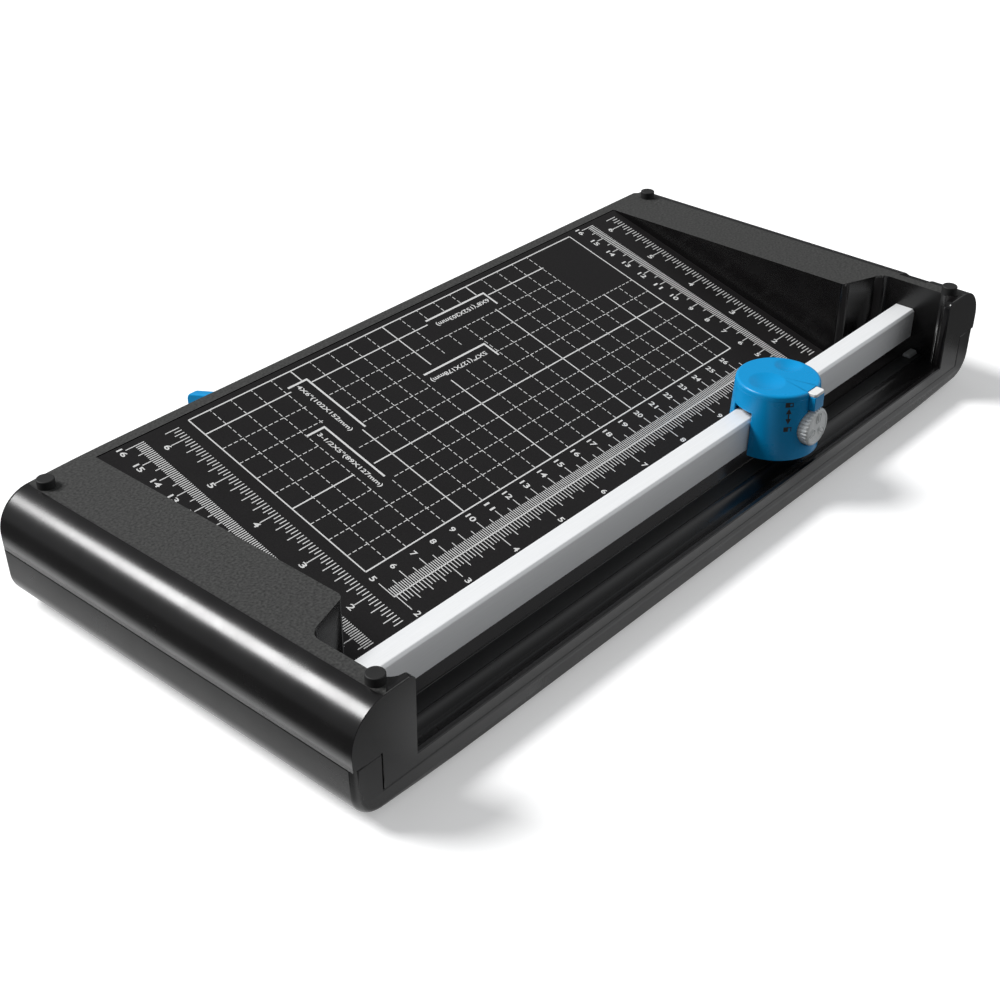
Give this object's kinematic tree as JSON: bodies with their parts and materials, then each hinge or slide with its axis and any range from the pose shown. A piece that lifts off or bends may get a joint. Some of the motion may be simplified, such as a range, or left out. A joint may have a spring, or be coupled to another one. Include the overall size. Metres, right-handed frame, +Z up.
{
  "type": "rotary paper trimmer",
  "caption": "Desktop rotary paper trimmer: wedge bed with printed ruler deck, rounded ends, fixed guide rail and a sliding cutting head with blade selector.",
  "frame": {"origin": "middle of the footprint at table height", "axes": "+X along the guide rail, to the right when seen from the cutting side; +Y from the cutting side to the high back edge; +Z up"},
  "size_m": [0.4, 0.2052, 0.0514],
  "materials": {
    "casing_upper": "black plastic, glossy on the rounded ends, fine grain on the flats",
    "casing_lower": "glossy black plastic",
    "deck_print": "matt dark charcoal sheet with a pale printed measuring grid",
    "rubber_black": "matt black rubber",
    "screw_steel": "plain zinc-plated steel",
    "rail_aluminium": "satin anodised aluminium",
    "inner_plastic": "matt dark grey plastic",
    "mat_grey": "matt grey self-healing strip",
    "clip_grey": "matt light grey plastic",
    "blue_plastic": "bright blue plastic, soft gloss",
    "white_plastic": "white plastic",
    "glide_white": "off-white low-friction plastic",
    "selector_grey": "matt mid grey plastic",
    "blade_steel": "ground tool steel",
    "spring_steel": "bright spring wire"
  },
  "bodies": {
    "base": {"upper_casing": "casing_upper", "lower_casing": "casing_lower", "deck_sheet": "deck_print", "corner_pads": "rubber_black", "feet": "rubber_black", "casing_screws": "screw_steel", "guide_rail": "rail_aluminium", "rail_plugs": "inner_plastic", "rail_screws": "screw_steel", "cutting_mat": "mat_grey", "mat_clip": "clip_grey", "stop_channel": "inner_plastic"},
    "paper_stop": {"stop_arm": "inner_plastic", "stop_tab": "blue_plastic"},
    "carriage": {"carriage_shoe": "inner_plastic", "glide_pads": "glide_white", "return_springs": "spring_steel"},
    "head": {"head_housing": "blue_plastic", "head_cap": "blue_plastic", "cap_screws": "screw_steel", "detent_ball": "blade_steel", "detent_spring": "spring_steel"},
    "latch": {"lock_latch": "blue_plastic", "latch_cap": "white_plastic"},
    "turret": {"turret_disc": "selector_grey", "turret_shaft": "screw_steel", "selector_dial": "selector_grey", "dial_screw": "screw_steel", "blade_axles": "screw_steel", "axle_clips": "inner_plastic"},
    "blade_straight": {"straight_blade": "blade_steel"},
    "blade_perforating": {"perforating_blade": "blade_steel"},
    "blade_wavy": {"wavy_blade": "blade_steel"}
  },
  "joints": [
    {"name": "stop_slide", "type": "slide", "parent": "base", "child": "paper_stop", "axis": [0, 0.9617, 0.2742], "range_m": [0, 0.06]},
    {"name": "carriage_slide", "type": "slide", "parent": "base", "child": "carriage", "axis": [1, 0, 0], "range_m": [-0.2205, 0.0955]},
    {"name": "head_press", "type": "slide", "parent": "carriage", "child": "head", "axis": [0, 0, -1], "range_m": [0, 0.00265], "stiffness_N_per_m": 600, "springref_m": -0.004, "deforming": ["return_springs"]},
    {"name": "latch_lift", "type": "slide", "parent": "head", "child": "latch", "axis": [0, 0, 1], "range_m": [0, 0.0025]},
    {"name": "selector_turn", "type": "hinge", "parent": "head", "child": "turret", "pos_m": [0.0625, -0.0847, 0.033], "axis": [0, 1, 0], "range_deg": [-120, 120]},
    {"name": "blade_straight_spin", "type": "hinge", "parent": "turret", "child": "blade_straight", "pos_m": [0.0625, -0.0847, 0.0246], "axis": [0, 1, 0], "continuous": true},
    {"name": "blade_perforating_spin", "type": "hinge", "parent": "turret", "child": "blade_perforating", "pos_m": [0.06977, -0.0847, 0.0372], "axis": [0, 1, 0], "continuous": true},
    {"name": "blade_wavy_spin", "type": "hinge", "parent": "turret", "child": "blade_wavy", "pos_m": [0.05523, -0.0847, 0.0372], "axis": [0, 1, 0], "continuous": true}
  ]
}
